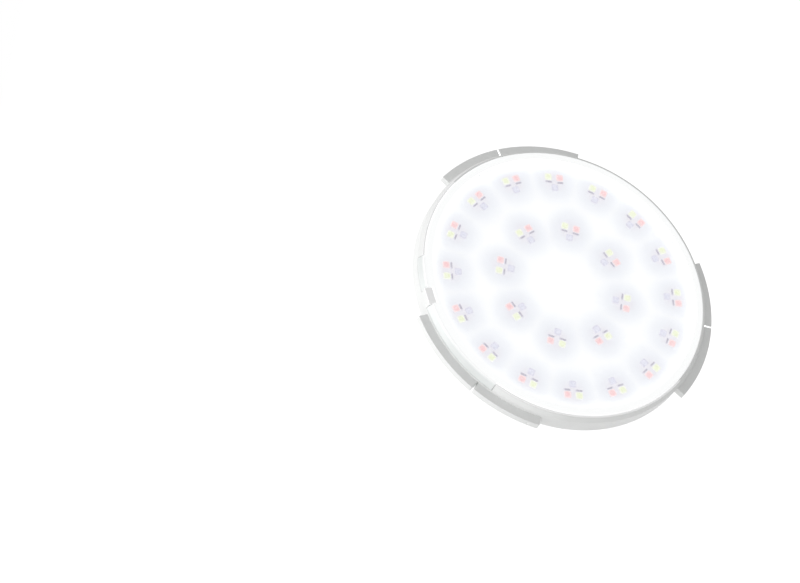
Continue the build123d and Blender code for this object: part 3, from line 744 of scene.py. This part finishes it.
def spigot_tube(plastic):
    """Threaded tube with its plain lead and its key notch.

    The tube is one closed profile turned round the axis. The notch comes from holding every depth of the
    columns inside it to the notch's floor, and every radius to the thread's where it meets that floor.
    """
    notch = (NOTCH_ANGLE - NOTCH_HALF_ANGLE, NOTCH_ANGLE + NOTCH_HALF_ANGLE)
    angles = columns(notch)
    limit = np.where(between(angles, *notch), SPIGOT_END - NOTCH_DEPTH, SPIGOT_END)[:, None]
    rows = np.arange(NECK_END, LEAD_START, THREAD_ROW)
    depth = np.minimum(np.broadcast_to(rows, (len(angles), len(rows))), limit)
    outer = np.stack([thread_radius(depth, angles[:, None]), depth], axis=-1)
    corners = spread([
        (THREAD_RADIUS, LEAD_START), (LEAD_RADIUS, LEAD_START + LEAD_CHAMFER), (LEAD_RADIUS, SPIGOT_END),
        (SPIGOT_BORE, SPIGOT_END), (SPIGOT_BORE, SPIGOT_SHOULDER), (WELL_RADIUS, SPIGOT_SHOULDER),
        (WELL_RADIUS, NECK_END),
    ], len(angles))
    radii = [LEAD_ROUNDING, LEAD_ROUNDING, RIM_EDGE, RIM_EDGE, BORE_EDGE, BORE_EDGE, 0.0]
    rest = rounded(corners, radii, closed=False)
    rest[..., 0] = np.minimum(rest[..., 0], outer[:, -1:, 0])
    rest[..., 1] = np.minimum(rest[..., 1], limit)
    profiles = np.concatenate([outer, rest, outer[:, :1]], axis=1)
    points, faces = spun(profiles, angles)
    return mesh_piece("threaded_tube", [(points, faces, 0)], [plastic])


def bar_box(angle, inner, outer, width, front, back):
    """Plain bar that points away from the axis, as eight corners and six faces."""
    a = math.radians(angle)
    away, side = np.array([math.cos(a), math.sin(a)]), np.array([-math.sin(a), math.cos(a)])
    points = []
    for depth in (front, back):
        for radius, shift in ((inner, -0.5), (outer, -0.5), (outer, 0.5), (inner, 0.5)):
            x, z = away * radius + side * shift * width
            points.append((x, LENS_FACE + depth, z))
    faces = [(0, 1, 2, 3), (7, 6, 5, 4), (1, 0, 4, 5), (2, 1, 5, 6), (3, 2, 6, 7), (0, 3, 7, 4)]
    return points, faces, 0


def soften(piece, width):
    """Round the edges of a piece of plain bars."""
    bevel = piece.modifiers.new("soft_edges", "BEVEL")
    bevel.width = width
    bevel.segments = 2
    bevel.limit_method = "ANGLE"
    piece.modifiers.move(len(piece.modifiers) - 1, 0)
    return piece


def neck_fins(plastic):
    """Gussets round the neck."""
    step = 360.0 / GUSSET_COUNT
    size = (NECK_RADIUS - GUSSET_ROOT, GUSSET_REACH, GUSSET_WIDTH, FLOOR_BACK - BAR_SUNK, NECK_END)
    bars = [bar_box(GUSSET_ANGLE + k * step, *size) for k in range(GUSSET_COUNT)]
    return soften(mesh_piece("neck_gussets", bars, [plastic]), GUSSET_ROUNDING)


def bore_ribs(plastic):
    """Ribs down the bore of the spigot."""
    step = 360.0 / CELLS_ROUND
    start = SPIGOT_SHOULDER - BAR_SUNK
    size = (WELL_RADIUS, SPIGOT_BORE + BORE_RIB_ROOT, BORE_RIB_WIDTH, start, BORE_RIB_END)
    bars = [bar_box(CELL_ANGLE + k * step, *size) for k in range(CELLS_ROUND)]
    return soften(mesh_piece("bore_ribs", bars, [plastic]), BORE_RIB_ROUNDING)


def lug_segment(start, stop, dimple_angle, painted_lit_end):
    """Bar along an arc, with rounded edges and a dimple in its outer face.

    Its section is a rectangle with rounded corners, and near each end it is drawn in by e(s) =
    R - sqrt(R^2 - (R - s)^2), with s the distance from the end, which rounds the end's edges. The dimple
    lowers the outer face by D (1 - (w / W)^2) within the distance W of its middle. The painted lit end, 0
    or
    1, is the one whose face gets the second material, painted light on the wall of the slit, and is None
    where neither does.
    """
    across = np.linspace(LUG_FRONT, LUG_BACK, LUG_ROWS)[1:-1]
    corners = [(LUG_ROOT, LUG_FRONT), (LUG_RADIUS, LUG_FRONT)]
    corners += [(LUG_RADIUS, depth) for depth in across]
    corners += [(LUG_RADIUS, LUG_BACK), (LUG_ROOT, LUG_BACK)]
    radii = np.zeros(len(corners))
    radii[1] = radii[-2] = LUG_ROUNDING
    section = rounded(np.array(corners), radii, steps=2)
    per_mm = math.degrees(MM / LUG_RADIUS)
    near_ends = np.array([0, 0.05, 0.12, 0.22, 0.35]) * per_mm
    near_dimple = dimple_angle + np.linspace(-1.4, 1.4, LUG_ROWS) * per_mm
    even = np.arange(start + 1, stop - 0.5, LUG_STEP)
    stations = np.concatenate([even, start + near_ends, stop - near_ends, near_dimple])
    stations = np.unique(stations[(stations >= start) & (stations <= stop)])
    from_end = np.minimum(stations - start, stop - stations) / per_mm * MM
    drawn = np.maximum(LUG_ROUNDING - from_end, 0)
    inset = (LUG_ROUNDING - np.sqrt(LUG_ROUNDING ** 2 - drawn ** 2))[:, None]
    radius = np.minimum(section[None, :, 0], LUG_RADIUS - inset)
    depth = np.clip(section[None, :, 1], LUG_FRONT + inset, LUG_BACK - inset)
    along = ((stations - dimple_angle) / per_mm * MM)[:, None]
    away = np.hypot(along, depth - (LUG_FRONT + LUG_BACK) / 2) / DIMPLE_RADIUS
    lowered = DIMPLE_DEPTH * np.clip(1 - away ** 2, 0, 1)
    radius = np.where(radius > LUG_RADIUS - 0.5 * LUG_ROUNDING, radius - lowered, radius)
    turn = np.radians(stations)[:, None]
    points = np.stack([radius * np.cos(turn), LENS_FACE + depth, radius * np.sin(turn)], axis=-1)
    rows, count = points.shape[:2]
    faces = [tuple(face) for face in grid_faces(rows, count)]
    faces.append(tuple(reversed(range(count))))
    faces.append(tuple(range((rows - 1) * count, rows * count)))
    ends = [int(painted_lit_end == 0), int(painted_lit_end == 1)]
    return points, faces, [0] * (len(faces) - 2) + ends


def bayonet_lugs(plastic, slit_painted_light):
    """Three lugs on the rim, each in two lengths with a slit between them, whose slit walls get painted
    light in all but one.
    """
    half_slit = math.degrees(LUG_SLIT / 2 / LUG_RADIUS)
    parts = []
    for middle in LUG_ANGLES:
        dimple = middle + LUG_AFTER - DIMPLE_INSET
        # pale marks the lugs whose slit walls get painted light: a white glowing finish where the narrow
        # slit would be in shade
        pale = middle != LUG_ANGLES[1]
        parts.append(lug_segment(middle - LUG_BEFORE, middle - half_slit, dimple, 1 if pale else None))
        parts.append(lug_segment(middle + half_slit, middle + LUG_AFTER, dimple, 0 if pale else None))
    return mesh_piece("bayonet_lugs", parts, [plastic, slit_painted_light])


# Lens

def lens_cap(clear, milky_edge):
    """Clear cap with a bevelled edge, a tongue behind it, the wide key and the notch for the stop block.

    One closed profile is turned round the axis. The columns of the key reach out to the body's taper, and
    those of the notch stop short of the block.
    """
    key = (KEY_START, KEY_END)
    notch = (STOP_START - FIT_TURN, STOP_END + FIT_TURN)
    angles = columns([*key, *notch])
    tongue = [
        (TONGUE_RADIUS, LENS_FLANGE), (TONGUE_RADIUS, TONGUE_END), (TONGUE_BORE, TONGUE_END),
        (TONGUE_BORE, LENS_PLATE), (LENS_WINDOW, LENS_PLATE),
        *[(radius, LENS_PLATE) for radius in reversed(LENS_RINGS)],
    ]

    def plain_edge(radius):
        """Bevel and side, with as many points as the key's edge."""
        steps = np.linspace(LENS_EDGE, LENS_FLANGE, 5)
        return [(radius - LENS_EDGE, 0), *[(radius, depth) for depth in steps]]

    key_bore = LIP_BORE + FIT_GAP
    key_edge = [
        (LIP_RADIUS - LENS_EDGE, 0), (LIP_RADIUS, LENS_EDGE), (BODY_RADIUS, TAPER_END),
        (BODY_RADIUS, KEY_DEPTH), (key_bore, KEY_DEPTH), (key_bore, LENS_FLANGE),
    ]
    front = [*[(radius, 0) for radius in LENS_RINGS], (LENS_WINDOW, 0)]
    corners = spread(front + plain_edge(LENS_RADIUS) + tongue, len(angles))
    edge = slice(len(front), len(front) + len(key_edge))
    corners[between(angles, *key), edge] = key_edge
    corners[between(angles, *notch), edge] = plain_edge(STOP_RADIUS - FIT_GAP)
    radii = np.full(corners.shape[1], LENS_ROUNDING)
    radii[:len(front)] = radii[-len(front):] = 0
    outline = rounded(corners, radii, closed=False)
    points, faces = spun(outline, angles)
    rows, count = points.shape[:2]
    reach = outline[0, :, 0]
    milky = np.minimum(reach[:-1], reach[1:]) > LENS_WINDOW - MERGE_DISTANCE
    indices = np.repeat(milky.astype(int), count).tolist() + [0] * (2 * count)
    poles = np.array([[0, LENS_FACE, 0], [0, LENS_FACE + LENS_PLATE, 0]])
    faces = [tuple(face) for face in faces]
    front_pole, back_pole, last = rows * count, rows * count + 1, (rows - 1) * count
    faces += [(front_pole, k, (k + 1) % count) for k in range(count)]
    faces += [(back_pole, last + (k + 1) % count, last + k) for k in range(count)]
    part = (np.concatenate([points.reshape(-1, 3), poles]), faces, indices)
    return mesh_piece("lens_cap", [part], [clear, milky_edge])


# Light-emitting clusters

def clusters():
    """Radius and angle of every cluster."""
    rings = (
        (OUTER_CLUSTER_RADIUS, FIRST_OUTER_ANGLE, OUTER_CLUSTERS),
        (INNER_CLUSTER_RADIUS, FIRST_INNER_ANGLE, INNER_CLUSTERS),
    )
    return [(radius, first + k * 360 / count) for radius, first, count in rings for k in range(count)]


def on_clusters(shape, along, inset):
    """Copies of a small shape, one per cluster.

    The shape's points are (outwards, along the ring, height over the board). Each copy is moved to its
    cluster's radius less the inset and turned to its angle, with its height measured towards -Y.
    """
    radii, angles = np.array(clusters()).T
    angles = np.radians(angles)[:, None]
    outwards = radii[:, None] - inset + shape[None, :, 0]
    sideways = along + shape[None, :, 1]
    x = outwards * np.cos(angles) - sideways * np.sin(angles)
    z = outwards * np.sin(angles) + sideways * np.cos(angles)
    y = np.broadcast_to(BOARD_FACE - shape[None, :, 2], x.shape)
    return np.stack([x, y, z], axis=-1)


def repeat_faces(faces, copies, points):
    """The same faces for each copy of a shape with that many points, turned over as heights run to -Y."""
    return [tuple(int(i) + k * points for i in face[::-1]) for k in range(copies) for face in faces]


def package_shape():
    """One package as rings of points round its middle.

    Each ring is the curve |x|^p + |y|^p = a^p, which is nearly square for a high p and round for p = 2.
    The rings climb the frame, step down into a round cup and rise again over the dome.
    """
    around = PACKAGE_SIDES
    half = PACKAGE_SIDE / 2
    rings = [
        (half, 14.0, 0.0),
        (half, 14.0, PACKAGE_HEIGHT - PACKAGE_CHAMFER),
        (half - PACKAGE_CHAMFER, 12.0, PACKAGE_HEIGHT),
        (CUP_RADIUS, 2.6, PACKAGE_HEIGHT),
        (DOME_RADIUS, 2.0, CUP_FLOOR),
    ]
    climbs = np.radians([25, 50, 72])
    rings += [(DOME_RADIUS * math.cos(t), 2.0, CUP_FLOOR + DOME_RISE * math.sin(t)) for t in climbs]
    size, power, height = np.array(rings).T[:, :, None]
    angle = np.arange(around)[None, :] * 2 * np.pi / around + np.pi / around
    radius = size / (np.abs(np.cos(angle)) ** power + np.abs(np.sin(angle)) ** power) ** (1 / power)
    x, y = radius * np.cos(angle), radius * np.sin(angle)
    points = np.stack([x, y, np.broadcast_to(height, x.shape)], axis=-1).reshape(-1, 3)
    faces = [tuple(face[::-1]) for face in grid_faces(len(rings), around)]
    last = (len(rings) - 1) * around
    faces.append(tuple(range(around)))
    faces.append(tuple(last + k for k in reversed(range(around))))
    colours = [0 if k < 4 * around else 1 for k in range(len(faces) - 2)] + [0, 1]
    return points, faces, colours


def packages(name, along, inset, frame_material, dome_material):
    """The packages of one colour in all clusters."""
    shape, faces, colours = package_shape()
    points = on_clusters(shape, along, inset)
    copies = len(clusters())
    part = (points, repeat_faces(faces, copies, len(shape)), colours * copies)
    return mesh_piece(name, [part], [frame_material, dome_material])


def resistors(name, body_material, end_material):
    """Series resistors, each a section with cut corners carried along its length.

    A station is its share of the length and how much the section swells there, which is most at the
    tinned ends. The section's corners are shares of the width and the height.
    """
    half = np.array([(0.36, 0.92), (0.37, 1.0), (0.48, 1.0), (0.50, 0.84)])
    stations = np.concatenate([half[::-1] * (-1, 1), half])
    section = np.array([(-0.5, 0.0), (0.5, 0.0), (0.5, 0.8), (0.42, 1.0), (-0.42, 1.0), (-0.5, 0.8)])
    run, swell = stations[:, 0, None] * RESISTOR_LENGTH, stations[:, 1, None]
    outwards = section[None, :, 0] * RESISTOR_WIDTH * swell
    height = section[None, :, 1] * RESISTOR_HEIGHT * swell
    shape = np.stack([outwards, np.broadcast_to(run, outwards.shape), height], axis=-1).reshape(-1, 3)
    sides = len(section)
    faces = [tuple(face) for face in grid_faces(len(stations), sides)]
    last = (len(stations) - 1) * sides
    colours = [0 if 2 <= k // sides <= 4 else 1 for k in range(len(faces))] + [1, 1]
    faces += [tuple(reversed(range(sides))), tuple(range(last, last + sides))]
    shifts = (-PACKAGE_SHIFT, PACKAGE_SHIFT)
    points = np.concatenate([on_clusters(shape, shift, RESISTOR_INSET) for shift in shifts])
    copies = len(points)
    part = (points, repeat_faces(faces, copies, len(shape)), colours * copies)
    return mesh_piece(name, [part], [body_material, end_material], flat=True)


# Dressing the lamp

def dress(node_name, material):
    """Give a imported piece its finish."""
    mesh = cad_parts[node_name].data
    mesh.materials.clear()
    mesh.materials.append(material)


def stand_for(piece, node_name):
    """Let a detailed piece stand for a packed one of the lamp's fixed body."""
    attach(piece, "lamp")
    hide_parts(node_name)


def finishes():
    """Finish of the board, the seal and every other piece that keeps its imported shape."""
    dress("lens_seal", white_plastic("seal_rubber", 0.6))
    dress("led_board", board_white())
    for nodes, name, light, dark, roughness, patch, grain_size, metal in (
        ("thermal_pad", "pad_grey", (160, 163, 168), (138, 141, 146), 0.8, 3.0, 0.2, 0),
        ("heat_spreader", "spreader_aluminium", (214, 216, 218), (196, 198, 200), 0.35, 9.0, 0.15, 1),
        ("spreader_screws", "screw_steel", (196, 196, 196), (170, 170, 171), 0.3, 1.0, 0.08, 1),
        ("driver_board", "driver_green", (36, 104, 62), (26, 84, 50), 0.45, 3.0, 0.2, 0),
        ("rectifier driver_chip", "chip_black", (48, 48, 50), (34, 34, 36), 0.55, 1.5, 0.06, 0),
        ("capacitors", "capacitor_can", (206, 206, 209), (186, 186, 190), 0.3, 2.0, 0.1, 1),
        ("choke", "choke_ferrite", (74, 74, 78), (54, 54, 58), 0.6, 1.0, 0.1, 0),
        ("input_terminal", "terminal_grey", (146, 149, 151), (126, 129, 131), 0.5, 2.0, 0.35, 0),
        ("link_pins", "pin_metal", (228, 200, 128), (206, 176, 104), 0.25, 1.0, 0.35, 1),
        ("potting_resin", "resin_clear", (236, 232, 220), (222, 217, 204), 0.2, 5.0, 1.0, 0),
        ("gland_body gland_nut", "gland_plastic", (206, 207, 206), (190, 191, 190), 0.45, 4.0, 0.25, 0),
        ("gland_o_ring gland_seal", "gland_rubber", (52, 52, 52), (38, 38, 38), 0.75, 2.0, 0.15, 0),
        ("gland_thrust_ring", "thrust_plastic", (238, 238, 236), (226, 226, 224), 0.3, 3.0, 0.35, 0),
    ):
        colours = (srgb(*light), srgb(*dark))
        material = moulded(name, *colours, roughness, patch * MM, grain_size * MM, float(metal))
        for node_name in nodes.split():
            dress(node_name, material)


def housing_pieces():
    """Housing, modelled with the rounded edges and the cells of the moulded part."""
    plastic = housing_plastic()
    dress("rear_housing", plastic)
    made = [
        housing_dish(plastic, white_plastic("cell_and_lip_glow", 0.12)),
        spigot_tube(plastic),
        neck_fins(plastic),
        bore_ribs(plastic),
        # the slit walls of the lugs glow white as painted light
        bayonet_lugs(plastic, white_plastic("slit_wall_painted_light", 0.4)),
    ]
    for piece in made:
        stand_for(piece, "rear_housing")


def lit_pieces():
    """Packages, resistors and the lens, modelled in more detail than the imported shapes."""
    for colour, along, inset, frame_colours, dome_colours in (
        ("red", -PACKAGE_SHIFT, 0, ((255, 230, 230), (255, 224, 224)), ((255, 219, 220), (255, 204, 206))),
        ("lime", PACKAGE_SHIFT, 0, ((250, 252, 236), (248, 251, 230)), ((248, 252, 224), (243, 249, 208))),
        ("blue", 0, BLUE_INSET, ((228, 226, 238), (220, 218, 232)), ((236, 235, 247), (226, 226, 241))),
    ):
        of_frame = lit(f"{colour}_frame", *[srgb(*c) for c in frame_colours])
        of_dome = lit(f"{colour}_dome", *[srgb(*c) for c in dome_colours])
        made = packages(f"{colour}_packages", along, inset, of_frame, of_dome)
        stand_for(made, f"{colour}_leds")
    # The resistors glow too: their body and end colours are painted light, as they look under the glow of
    # the lens.
    ceramic_painted_glow = lit("resistor_ceramic_painted_glow", srgb(196, 191, 204), srgb(182, 177, 192))
    tinned = lit("resistor_ends_painted_glow", srgb(226, 223, 232), srgb(214, 211, 222))
    stand_for(resistors("series_resistors", ceramic_painted_glow, tinned), "chip_resistors")
    stand_for(lens_cap(clear_lens(), lens_edge()), "front_lens")


# Stage, lamps and camera

def seen_directly(tree):
    """One for rays from the camera, reflections or clear pieces, and nought for all other light."""
    rays = node(tree, "ShaderNodeLightPath").outputs
    mirrored = calc(tree, "MAXIMUM", rays["Is Glossy Ray"], rays["Is Transmission Ray"])
    return calc(tree, "MAXIMUM", rays["Is Camera Ray"], mirrored)


def build_floor():
    """Pale floor that shows white and keeps the lamp's shadow."""
    material = bpy.data.materials.new("studio_floor")
    material.use_nodes = True
    tree = material.node_tree
    tree.nodes.clear()
    diffuse = node(tree, "ShaderNodeBsdfDiffuse", {"Color": (FLOOR_GREY, FLOOR_GREY, FLOOR_GREY, 1.0)})
    lift = calc(tree, "MULTIPLY", seen_directly(tree), FLOOR_LIFT)
    glow = node(tree, "ShaderNodeEmission", {"Color": (1.0, 1.0, 1.0, 1.0), "Strength": lift})
    both = node(tree, "ShaderNodeAddShader", {0: diffuse.outputs[0], 1: glow.outputs[0]})
    node(tree, "ShaderNodeOutputMaterial", {"Surface": both.outputs[0]})
    reach = FLOOR_SIZE / 2
    corners = np.array([(-reach, -reach, 0), (reach, -reach, 0), (reach, reach, 0), (-reach, reach, 0)])
    floor = mesh_piece("floor", [(corners - (0, 0, FLOOR_DROP), [(0, 1, 2, 3)], 0)], [material], flat=True)


def build_world():
    """Even pale surroundings, white where they are seen."""
    world = bpy.data.worlds.new("studio")
    bpy.context.scene.world = world
    world.use_nodes = True
    tree = world.node_tree
    shader = tree.nodes["Background"]
    shader.inputs["Color"].default_value = (1.0, 1.0, 1.0, 1.0)
    seen = seen_directly(tree)
    strength = calc(tree, "MULTIPLY_ADD", seen, BACKDROP_WHITE - AMBIENT, AMBIENT)
    connect(tree, shader.inputs["Strength"], strength)


def area_lamp(name, position, watts):
    """Soft square lamp that faces the object."""
    data = bpy.data.lights.new(name, "AREA")
    data.shape = "SQUARE"
    data.size = LAMP_SIZE
    data.energy = watts
    lamp = bpy.data.objects.new(name, data)
    lamp.location = position
    lamp.rotation_euler = (-Vector(position)).to_track_quat("-Z", "Y").to_euler()
    bpy.context.scene.collection.objects.link(lamp)


def build_lamps():
    """Key from above and a weak fill from the side."""
    area_lamp("key_lamp", KEY_PLACE, KEY_WATTS)
    area_lamp("side_lamp", SIDE_PLACE, SIDE_WATTS)


def build_camera():
    """Camera at the photograph's viewing angle, moved sideways to place the lens as it is placed there."""
    azimuth = math.radians(CAMERA_AZIMUTH)
    elevation = math.radians(CAMERA_ELEVATION)
    roll = math.radians(CAMERA_ROLL)
    level_back = Vector((math.sin(azimuth), -math.cos(azimuth), 0)) * math.cos(elevation)
    back = level_back + Vector((0, 0, math.sin(elevation)))
    level = Vector((0, 0, 1)).cross(back).normalized()
    upright = back.cross(level)
    right = level * math.cos(roll) + upright * math.sin(roll)
    up = back.cross(right)
    mm_right = (LENS_CENTRE_PIXEL[0] - IMAGE_WIDTH_PIXELS / 2) / PIXELS_PER_MM
    mm_up = (IMAGE_HEIGHT_PIXELS / 2 - LENS_CENTRE_PIXEL[1]) / PIXELS_PER_MM
    aim = Vector((0, LENS_FACE, 0)) - (right * mm_right + up * mm_up) * MM
    data = bpy.data.cameras.new("camera")
    data.sensor_width = CAMERA_SENSOR
    data.lens = CAMERA_SENSOR * CAMERA_DISTANCE / (IMAGE_WIDTH_PIXELS / PIXELS_PER_MM * MM)
    camera = bpy.data.objects.new("camera", data)
    turn = Matrix((right, up, back)).transposed().to_4x4()
    camera.matrix_world = Matrix.Translation(aim + back * CAMERA_DISTANCE) @ turn
    bpy.context.scene.collection.objects.link(camera)
    bpy.context.scene.camera = camera


def build_scene():
    """Camera, surroundings and the dressed lamp."""
    bpy.context.scene.view_settings.view_transform = "Standard"
    build_camera()
    build_world()
    build_floor()
    build_lamps()
    finishes()
    housing_pieces()
    lit_pieces()


build_scene()
